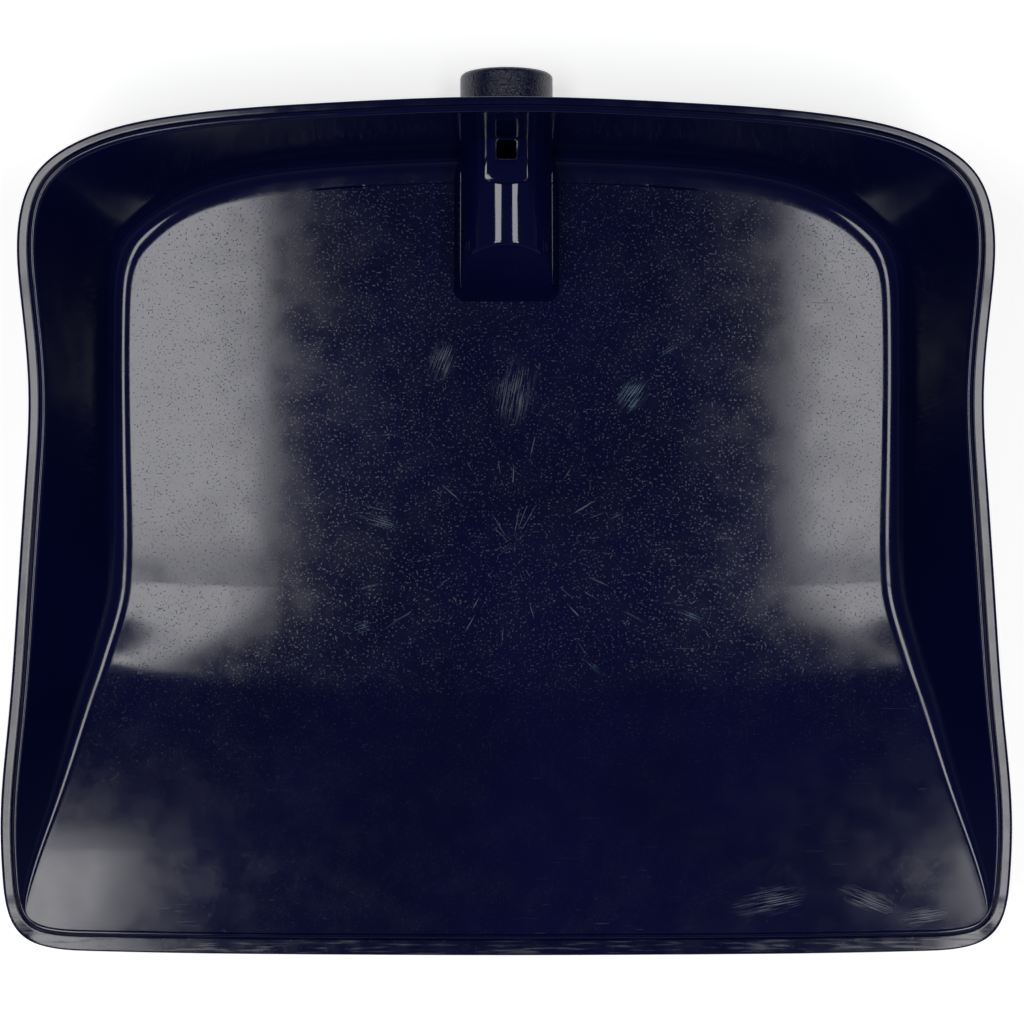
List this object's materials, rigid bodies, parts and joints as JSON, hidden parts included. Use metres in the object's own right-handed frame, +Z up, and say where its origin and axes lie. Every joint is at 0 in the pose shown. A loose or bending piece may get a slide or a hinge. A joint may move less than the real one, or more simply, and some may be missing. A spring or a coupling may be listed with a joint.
{
  "type": "scoop shovel head",
  "caption": "Wide moulded plastic scoop shovel head with curved side walls, a flanged rim, a bowed front lip and a blind round socket for a wooden handle.",
  "frame": {"origin": "under the middle of the head, on the surface that it rests on", "axes": "+X to the right seen from above with the handle socket at the top, +Y towards the handle, +Z up out of the open pan"},
  "size_m": [0.4976, 0.4406, 0.1001],
  "materials": {
    "navy_gloss": "glossy moulded polypropylene",
    "navy_grained": "fine grained moulded polypropylene"
  },
  "bodies": {
    "root": {"floor_plate": "navy_gloss", "front_lip": "navy_gloss", "left_wall": "navy_gloss", "right_wall": "navy_gloss", "back_wall": "navy_gloss", "rim_flange": "navy_gloss", "handle_socket": "navy_gloss", "bolt_seat": "navy_gloss", "socket_collar": "navy_grained"}
  },
  "joints": []
}
